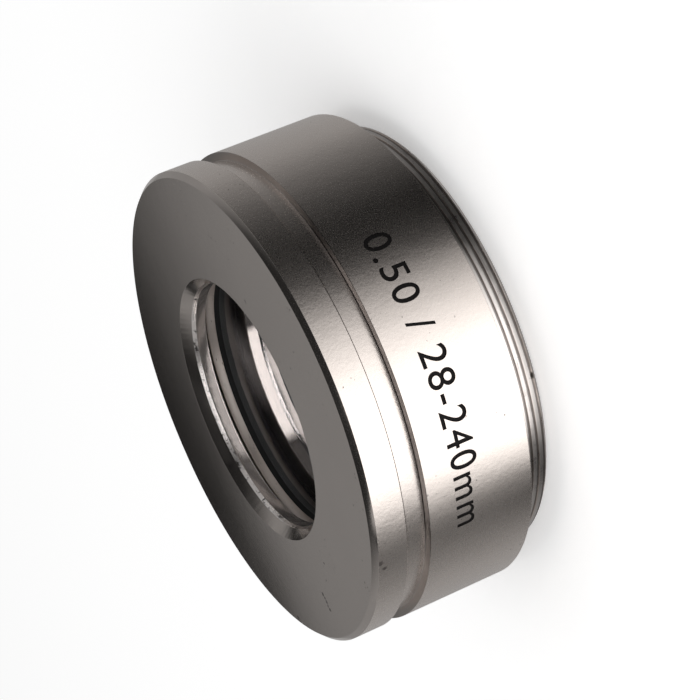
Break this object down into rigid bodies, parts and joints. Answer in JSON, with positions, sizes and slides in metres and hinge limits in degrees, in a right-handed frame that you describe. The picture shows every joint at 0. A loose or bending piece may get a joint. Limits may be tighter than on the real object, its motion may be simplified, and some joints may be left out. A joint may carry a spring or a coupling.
{
  "type": "conversion lens",
  "caption": "Screw-in conversion lens: satin metal barrel with a chamfered front cap, recessed cemented glass held by a threaded ring, and a mounting thread at the rear.",
  "frame": {"origin": "centre of the thread's end face, which the lens stands on", "axes": "+Z along the optical axis from the mounting thread to the front cap; -Y towards the side that carries the engraving; +X to the right of it"},
  "size_m": [0.053, 0.053, 0.0223],
  "materials": {
    "barrel_metal": "satin chrome over turned metal, black inside",
    "cap_metal": "satin chrome over turned metal",
    "ring_metal": "turned metal with a dark oxide on the threads",
    "crown_glass": "polished, coated",
    "flint_glass": "polished, coated"
  },
  "bodies": {
    "root": {"barrel": "barrel_metal", "front_cap": "cap_metal", "retaining_ring": "ring_metal", "crown_element": "crown_glass", "flint_element": "flint_glass"}
  },
  "joints": []
}
